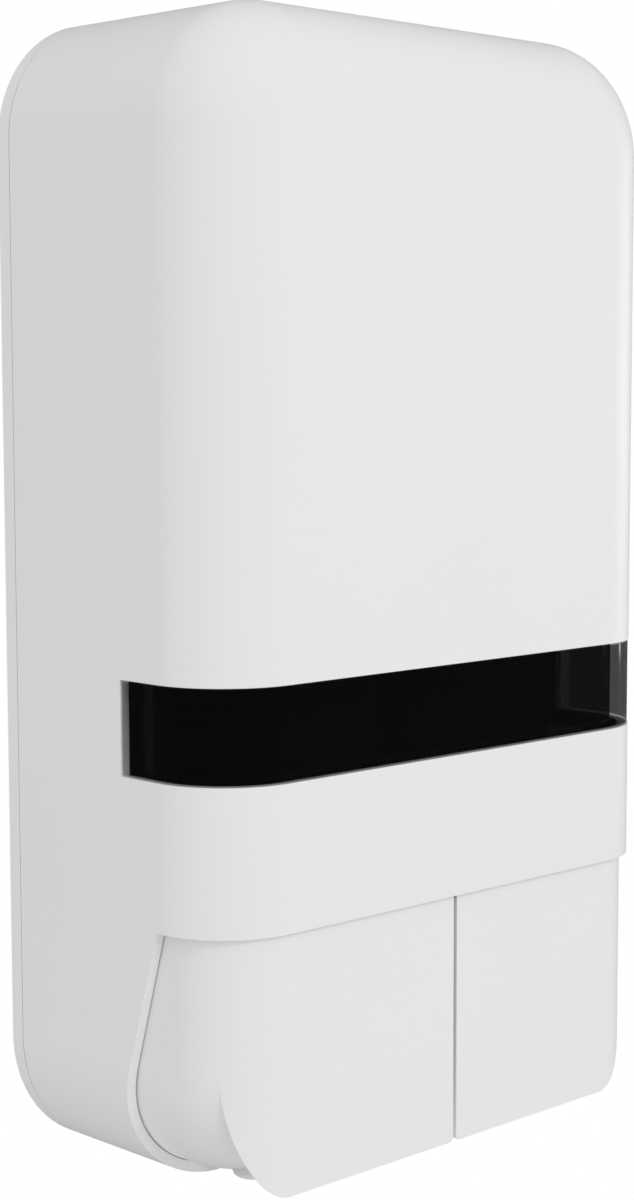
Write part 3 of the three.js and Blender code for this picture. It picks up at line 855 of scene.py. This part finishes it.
# The flap carries the front straight down past the roll, with a big round outer corner.
def leverFlap():
    plan = leverPlan
    drop = plan["rollZ"] - plan["flapLowZ"]
    centreX = plan["flapOuterX"] - plan["flapCornerWidth"]
    filletX = plan["cheekX"] - plan["fillet"]
    innerRound = 1.5
    rows = []
    for z, outerX in [[plan["rollZ"] + 3, plan["flapOuterX"]], [plan["rollZ"] + 1, plan["flapOuterX"]]] + [
            [plan["rollZ"] - drop * math.sin(turn), centreX + plan["flapCornerWidth"] * math.cos(turn)]
            for turn in spread(0, math.pi / 2, 40)]:
        low = max(0, plan["flapLowZ"] + innerRound - z)
        innerX = plan["halfGap"] + innerRound - math.sqrt(max(0, innerRound ** 2 - low ** 2))
        sunk = 0.02 if z > plan["rollZ"] - 2 else 0
        row = []
        for turn in spread(0, math.pi / 2, 40):
            x = innerX + (outerX - innerX) * math.sin(turn)
            along = max(0, x - filletX)
            back = plan["fillet"] - math.sqrt(plan["fillet"] ** 2 - along ** 2)
            row.append([x, plan["frontY"] + back + sunk, z])
        rows.append(row)
    return thicken(sheetOf("flap", rows), plan["wall"] - 0.2)


def rightLever():
    plan = leverPlan
    rollY = plan["frontY"] + plan["rollRadius"]
    piece = leverBody("rightLever")
    join(piece, leverFlap())
    centreOutline = [[-64, 66], [-79.5, 66], *arc(rollY, plan["rollZ"], 32.1, 32.1, 180, 239)]
    join(piece, prism("centreRib", "side", centreOutline, 1.7, 3.7))
    join(piece, rod("boss", "y", (plan["padX"], 0, plan["padZ"]), 8, plan["frontY"] + 1, -76))
    pivotY, pivotZ = plan["pivot"]
    lugEnd = arc(pivotY, pivotZ, 6, 6, 150, -30, 20)
    lugOutline = [[plan["frontY"] + 1, 50], [plan["frontY"] + 1, 66], *lugEnd, [-72, 50]]
    for x in (12, 61):
        join(piece, prism("lug", "side", lugOutline, x, x + 4))
    cut(piece,
        rod("padHole", "y", (plan["padX"], 0, plan["padZ"]), 2.9, -78.4, -75, 24),
        rod("shaftHole", "x", (0, pivotY, pivotZ), 2.7, 0, 90, 32),
        block("nozzleSlot", plan["padX"] - 11, plan["padX"] + 11, -77.6, 0, -1, 31))
    soften(piece, plan["edgeRound"])
    return piece


lever = rightLever()
mirroredLever = copied(lever, "leftLever", mirrored=True)
handOver(lever, whiteCase, "white_abs", "right_lever", "right_lever")
handOver(mirroredLever, whiteCase, "white_abs", "left_lever", "left_lever")


# Inner pieces: the same on both sides, so each is made on the right and copied to the left.

def bothSides(piece, material, slotName, body, node):
    right, left = piece, copied(piece, piece.name + "Left", mirrored=True)
    handOver(right, material, slotName, body.replace("side", "right"), "right_" + node)
    handOver(left, material, slotName, body.replace("side", "left"), "left_" + node)
    return right, left


cartridgePlan = {
    "x": (5.6, 62.7),
    "y": (-61.4, -8.6),
    "z": (91.3, 266),
    "corner": 7,
    "edge": 2,
    "wall": 1.6,
    "neck": 8,
    "bore": 5.4,
    "neckX": 42,
    "neckY": -22,
    "label": (14, 54, 140, 240),
}


# The bottle's box at an inset, its upright corners and then its rims rounded.
def bottleForm(name, inset):
    plan = cartridgePlan
    (x0, x1), (y0, y1), (z0, z1) = plan["x"], plan["y"], plan["z"]
    piece = block(name, x0 + inset, x1 - inset, y0 + inset, y1 - inset, z0 + inset, z1 - inset)
    openEdit(piece)
    pick(piece, "EDGE", lambda edge: runsAlong(edge, 2))
    bevelPicked(plan["corner"] - inset, 10)
    pick(piece, "EDGE", lambda edge: abs(edge.verts[0].co.z - edge.verts[1].co.z) < 1e-6)
    bevelPicked(plan["edge"], 4)
    closeEdit()
    return piece


def cartridge():
    plan = cartridgePlan
    x0, x1, z0, z1 = plan["label"]
    frontY, lowZ = plan["y"][0], plan["z"][0]
    piece = bottleForm("cartridge", 0)
    join(piece, rod("neck", "z", (plan["neckX"], plan["neckY"], 0), plan["neck"], 81.2, lowZ + 1))
    cut(piece, block("labelPanel", x0, x1, frontY - 1, frontY + 0.4, z0, z1))
    for z in (104, 108, 254, 258):
        cut(piece, block("groove", x0, x1, frontY - 1, frontY + 0.5, z, z + 1.2))
    cut(piece, bottleForm("inside", plan["wall"]))
    cut(piece, rod("neckBore", "z", (plan["neckX"], plan["neckY"], 0), plan["bore"], 80, lowZ + 3))
    soften(piece, 0)
    bothSides(piece, blackBottle, "cartridge_black", "housing", "cartridge")


cartridge()


pumpPlan = {
    "x": 42,
    "z": 46,
    "barrel": 11,
    "frontY": -46,
    "rearY": -8,
    "bore": 8,
    "inletY": -22,
    "nozzleY": -49,
    "ductX": 7.5,
    "edgeRound": 0.4,
}


def pumpBody():
    plan = pumpPlan
    x, z = plan["x"], plan["z"]
    inlet, outlet = (x, plan["inletY"], 0), (x, plan["nozzleY"], 0)
    piece = turned("pumpBody", "y", (x, 0, z), [
        [0, plan["frontY"]], [10, plan["frontY"]], [plan["barrel"], -45], [plan["barrel"], -42],
        [10.4, -41.4], [10.4, -12], [plan["barrel"], -11.4], [plan["barrel"], plan["rearY"]],
        [0, plan["rearY"]],
    ], 64)
    join(piece, block("flange", x - 20, x + 20, -11, plan["rearY"], z - 8, z + 8))
    join(piece, rod("inlet", "z", inlet, 7.5, z, 79))
    join(piece, rod("spigot", "z", inlet, 4.6, 78, 88, 32))
    join(piece, block("duct", x - plan["ductX"], x + plan["ductX"], -57, -12, 24.5, 35.2))
    join(piece, block("web", x - 7.4, x + 7.4, -45.5, -12, 30, 38))
    cut(piece, rod("bore", "y", (x, 0, z), plan["bore"], plan["frontY"] - 1, -13))
    cut(piece, rod("inletBore", "z", inlet, 2.8, 58, 89, 24))
    cut(piece, rod("valveSeat", "z", inlet, 4.6, z, 62, 32))
    cut(piece, rod("drop", "z", (x, -16.5, 0), 2.4, 29.5, z, 24))
    cut(piece, rod("channel", "y", (x, 0, 29.5), 2.4, plan["nozzleY"], -14.2, 24))
    cut(piece, rod("socket", "z", outlet, 5.2, 24, 33, 32))
    for shift in (-16, 16):
        cut(piece, rod("hole", "y", (x + shift, 0, z), 1.8, -12, -7, 24))
    soften(piece, plan["edgeRound"])
    bothSides(piece, naturalAcetal, "acetal_natural", "housing", "pump_body")


pumpBody()


# Turned pieces of the pump: profile, axis, centre, steps and how they are finished.
turnedPlan = {
    "piston": {
        "axis": "y", "centre": (42, 0, 46), "round": 0.3,
        "profile": [[0, -71.5], [10.2, -71.5], [11, -70.7], [11, -69], [3.5, -67.5], [3.5, -43], [7.5, -43],
                    [7.5, -40], [6, -40], [6, -37], [7.5, -37], [7.5, -33], [0, -33]],
    },
    "pistonSeal": {
        "axis": "y", "centre": (42, 0, 46), "round": 0.3,
        "profile": [[6.3, -39.7], [7.6, -39.7], [7.8, -39.2], [7.55, -38.5], [7.8, -37.8], [7.6, -37.3],
                    [6.3, -37.3]],
    },
    "neckSeal": {
        "axis": "z", "centre": (42, -22, 0), "round": 0.25,
        "profile": [[5, 79.3], [7.4, 79.3], [7.4, 80.9], [5, 80.9]],
    },
    "pushPad": {
        "axis": "y", "centre": (42, 0, 46), "round": 0.25,
        "profile": [[0, -78.1], [2.5, -78.1], [2.5, -75.7], [6.4, -75.7], [6.4, -74.9], [5, -73.6],
                    [2.6, -72.4], [0, -72]],
    },
    "nozzle": {
        "axis": "z", "centre": (42, -49, 0), "round": 0.3,
        "profile": [[2.4, 32.4], [4.8, 32.4], [4.8, 24.2], [6.2, 24.2], [6.2, 0.4], [5.6, -1.2],
                    [4.7, -1.6], [4.5, 15], [2.4, 16]],
    },
    "shaftClip": {
        "axis": "x", "centre": (0, -60, 80), "round": 0.2,
        "profile": [[2.5, 70.4], [4.6, 70.4], [4.6, 71.6], [2.5, 71.6]],
    },
}


def turnedPiece(name):
    plan = turnedPlan[name]
    piece = turned(name, plan["axis"], plan["centre"], plan["profile"], 64)
    return soften(piece, plan["round"])


def duckbill(name, y, collar, top, length):
    tip = top - length
    piece = turned(name, "z", (42, y, 0), [
        [collar - 1.1, top], [collar, top], [collar, top - length * 0.25], [1.4, tip], [0.5, tip],
        [collar - 1.1, top - length * 0.3],
    ], 48)
    return soften(piece, 0.15)


bothSides(turnedPiece("piston"), naturalAcetal, "acetal_natural", "side_piston", "piston")
bothSides(turnedPiece("pistonSeal"), blackRubber, "seal_rubber", "side_piston", "piston_seal")
bothSides(turnedPiece("neckSeal"), blackRubber, "seal_rubber", "housing", "neck_seal")
bothSides(turnedPiece("pushPad"), naturalAcetal, "acetal_natural", "side_lever", "push_pad")
bothSides(turnedPiece("nozzle"), greyNozzle, "nozzle_grey", "housing", "nozzle")
inletValve = duckbill("inletValve", -22, 4.2, 60.8, 6)
bothSides(inletValve, clearRubber, "valve_silicone", "housing", "inlet_valve")
outletValve = duckbill("outletValve", -49, 4.1, 14.4, 9)
bothSides(outletValve, clearRubber, "valve_silicone", "housing", "outlet_valve")


# A coil of round wire, drawn by the Screw modifier along an axis, its two cut ends filled.
def coil(name, axis, centre, radius, wire, low, high, turns):
    pitch = (high - low - 2 * wire) / turns
    focus(None)
    bpy.ops.mesh.primitive_circle_add(vertices=10, radius=wire * mm, fill_type="NOTHING",
                                      location=(radius * mm, 0, (low + wire) * mm),
                                      rotation=(math.pi / 2, 0, 0))
    piece = settle(bpy.context.object)
    piece.name = name
    applyModifier(piece, "SCREW", axis="Z", angle=2 * math.pi, screw_offset=pitch * mm, iterations=turns,
                  steps=32, render_steps=32)
    openEdit(piece)
    pick(piece, "EDGE", lambda edge: edge.is_boundary)
    bpy.ops.mesh.fill_holes(sides=0)
    closeSeams()
    closeEdit()
    if axis == "y":
        piece.rotation_euler = (-math.pi / 2, 0, 0)
    piece.location = spot(*centre)
    return soften(settle(piece), 0)


springPlan = {
    "radius": 9.5,
    "wire": 0.7,
    "frontY": -68.6,
    "rearY": -46.4,
    "turns": 5,
    "pressed": 0.58,        # share of its length left at full stroke
    "latchLowZ": 283.3,
    "latchHighZ": 286.7,
    "latchPressed": 0.2,
}


def springs():
    plan = springPlan
    piece = coil("pistonSpring", "y", (42, 0, 46), plan["radius"], plan["wire"],
                 plan["frontY"], plan["rearY"], plan["turns"])
    for side, item in zip((1, -1), bothSides(piece, zincSteel, "zinc_steel", "housing", "piston_spring")):
        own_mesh(item)
    latchSpring = coil("latchSpring", "z", (0, -30, 0), 3.1, 0.4, plan["latchLowZ"], plan["latchHighZ"], 3)
    handOver(latchSpring, zincSteel, "zinc_steel", "cover", "latch_spring")
    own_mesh(latchSpring)


springs()


shaftPlan = {
    "radius": 2.3,
    "end": 74.5,
    "pinRadius": 1.5,
    "pinEnd": 10,
    "chamfer": 0.4,
}


def shaftsAndClips():
    plan = shaftPlan
    ends = [[plan["radius"] - plan["chamfer"], plan["end"]],
            [plan["radius"], plan["end"] - plan["chamfer"]]]
    profile = [[0, -plan["end"]], *[[r, -x] for r, x in ends], *[[r, x] for r, x in reversed(ends)],
               [0, plan["end"]]]
    shaft = soften(turned("leverShaft", "x", (0, -60, 80), profile), 0)
    handOver(shaft, zincSteel, "zinc_steel", "housing", "lever_shaft")
    clip = turnedPiece("shaftClip")
    leftClip = copied(clip, "shaftClipLeft", mirrored=True)
    handOver(clip, blackRubber, "seal_rubber", "housing", "shaft_clip_right")
    handOver(leftClip, blackRubber, "seal_rubber", "housing", "shaft_clip_left")
    radius, end = plan["pinRadius"], plan["pinEnd"]
    pin = soften(turned("hingePin", "x", (coverPlan["hingeX"], coverPlan["hingeY"], coverPlan["hingeZ"]), [
        [0, -end], [radius - 0.3, -end], [radius, 0.3 - end], [radius, end - 0.3], [radius - 0.3, end],
        [0, end]],
        32), 0)
    leftPin = copied(pin, "hingePinLeft", mirrored=True)
    handOver(pin, zincSteel, "zinc_steel", "housing", "hinge_pin_right")
    handOver(leftPin, zincSteel, "zinc_steel", "housing", "hinge_pin_left")


shaftsAndClips()


screwPlan = {
    "chassis": {"headY": -7.9, "tipY": -0.8, "shank": 1.35, "head": 3.2},
    "pump": {"headY": -11.3, "tipY": -5.2, "shank": 1.0, "head": 2.6},
    "pitch": 0.7,
    "thread": 0.16,
    "recess": 0.22,         # width of the cross recess as a share of the head's radius
}


# A pan head screw at the origin of X and height, with a rolled thread and a cross recess.
def panHeadScrew(kind):
    plan = screwPlan[kind]
    headY, head, shank = plan["headY"], plan["head"], plan["shank"]
    dome = [[head * math.sin(turn), headY - head * (0.3 + 0.4 * math.cos(turn))]
            for turn in spread(0, math.pi / 2, 8)[1:]]
    profile = [[0, headY - head * 0.7], *dome, [head, headY], [shank, headY]]
    y = headY + 0.8
    while y + screwPlan["pitch"] < plan["tipY"] - 0.3:
        profile.append([shank - screwPlan["thread"], y])
        profile.append([shank, y + screwPlan["pitch"] / 2])
        y += screwPlan["pitch"]
    profile += [[shank - screwPlan["thread"], plan["tipY"] - 0.3], [0.5, plan["tipY"]], [0, plan["tipY"]]]
    piece = turned(kind + "Screw", "y", (0, 0, 0), profile, 40)
    arm, half = head * 0.58, head * screwPlan["recess"] / 2
    top = headY - head
    cross = block("recess", -arm, arm, top, headY - head * 0.38, -half, half)
    join(cross, block("recess", -half, half, top, headY - head * 0.38, -arm, arm))
    cut(piece, cross)
    return soften(piece, 0.06, 1)


def screws():
    chassisScrew = panHeadScrew("chassis")
    for number, (x, z) in enumerate(platePlan["screws"]):
        piece = copied(chassisScrew, f"chassisScrew{number + 1}", (x, 0, z))
        handOver(piece, zincSteel, "zinc_steel", "housing", f"chassis_screw_{number + 1}")
    pumpScrew = panHeadScrew("pump")
    for side, centreX in (("left", -42), ("right", 42)):
        for number, shift in enumerate((-16, 16)):
            piece = copied(pumpScrew, f"{side}PumpScrew{number + 1}", (centreX + shift, 0, 46))
            handOver(piece, zincSteel, "zinc_steel", "housing", f"{side}_pump_screw_{number + 1}")
    bpy.data.objects.remove(chassisScrew)
    bpy.data.objects.remove(pumpScrew)


screws()


chassisPlan = {
    "rearY": -4.6,
    "wall": 3,
    "shelfZ": 91,
    "frontY": -66,
    "lipTopZ": 99,
    "edgeRound": 0.5,
}


def chassis():
    plan = chassisPlan
    rearY, shelfZ, lipLowZ, lipTopZ = plan["rearY"], plan["shelfZ"], plan["shelfZ"] - 1, plan["lipTopZ"]
    piece = block("chassisFrame", -66, 66, rearY - plan["wall"], rearY, 26, shelfZ - 0.5)
    join(piece, block("shelf", -70, 70, plan["frontY"], rearY, shelfZ - plan["wall"], shelfZ))
    for x0, x1, y0, y1 in ((-65.9, -63.5, -65.9, -8), (63.5, 65.9, -65.9, -8), (-65, 65, -64.5, -62.2),
                           (-3, 3, -64, -8)):
        join(piece, block("trayLip", x0, x1, y0, y1, lipLowZ, lipTopZ))
    pivotY, pivotZ = leverPlan["pivot"]
    ribOutline = [[rearY - 0.2, shelfZ - 0.4], [rearY - 0.2, 44], [-12, 44], [-52, 73],
                  *arc(pivotY, pivotZ, 6, 6, 300, 180, 12), [-65.8, shelfZ - 0.4]]
    for x in (-69.8, -1.5, 66.8):
        join(piece, prism("rib", "side", ribOutline, x, x + 3))
    for x in (-34, 34):
        join(piece, block("stiffener", x - 1, x + 1, rearY - 5.5, rearY - 2, 58, shelfZ - 2))
    for side in (-1, 1):
        cut(piece, rod("neckHole", "z", (side * 42, pumpPlan["inletY"], 0), 9, shelfZ - 5, shelfZ + 2))
        for shift in (-16, 16):
            cut(piece, rod("hole", "y", (side * 42 + shift, 0, 46), 1.3, rearY - 4, rearY + 1, 24))
    cut(piece, rod("shaftHole", "x", (0, pivotY, pivotZ), 2.6, -75, 75, 32))
    for x, z in platePlan["screws"]:
        cut(piece, rod("hole", "y", (x, 0, z), 1.8, rearY - 4, rearY + 1, 24))
    soften(piece, plan["edgeRound"])
    handOver(piece, blackChassis, "chassis_black", "housing", "chassis")


chassis()


latchPlan = {
    "y": -30,
    "keeper": [[-4.6, 270], [-4.6, 287], [-7.4, 287], [-7.4, 284.6], [-20, 284.6], [-20, 278.4],
               [-17.6, 278.4], [-17.6, 282.2], [-7.4, 282.2], [-7.4, 270]],
    "catchFoot": [[-41.4, 275.3], [-41.4, 288.6], [-52, 288.6], [-52, 291.2], [-41, 291.2], [-39.6, 289.8]],
    "catchNose": [[-16.9, 280], [-15.9, 281.2], [-14.4, 281.2]],
    "catchArm": (-39.6, -16.9, 275.3, 277.1),
    "bend": (-39.6, -30.5),     # the arm gives way between these depths when the button is pressed
    "edgeRound": 0.35,
}


def latchParts():
    plan = latchPlan
    keeper = soften(prism("latchKeeper", "side", plan["keeper"], -8, 8), plan["edgeRound"])
    handOver(keeper, blackChassis, "chassis_black", "housing", "latch_keeper")
    rootY, noseY, lowZ, highZ = plan["catchArm"]
    outline = [*plan["catchFoot"], *[[y, highZ] for y in spread(rootY, noseY, 20)], *plan["catchNose"],
               *[[y, lowZ] for y in spread(noseY + 3.5, rootY + 0.5, 20)]]
    catch = soften(prism("coverCatch", "side", outline, -5, 5), 0)
    catch.data.materials.append(naturalAcetal)
    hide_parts("cover_catch")
    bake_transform(catch)
    top = height - 0.4
    outline = [[-7.9, 287], [7.9, 287], [7.9, 289], [6.5, 289], [6.5, top], [-6.5, top], [-6.5, 289],
               [-7.9, 289]]
    button = prism("latchButton", "front", outline, plan["y"] - 4.5, plan["y"] + 4.5)
    join(button, rod("stem", "z", (0, plan["y"], 0), 2, 278, 288, 32))
    for x in (-4, -2, 0, 2, 4):
        cut(button, block("grip", x - 0.4, x + 0.4, plan["y"] - 3.6, plan["y"] + 3.6, top - 0.4, top + 1))
    soften(button, 0.2)
    handOver(button, greyNozzle, "nozzle_grey", "latch", "latch_button")


latchParts()
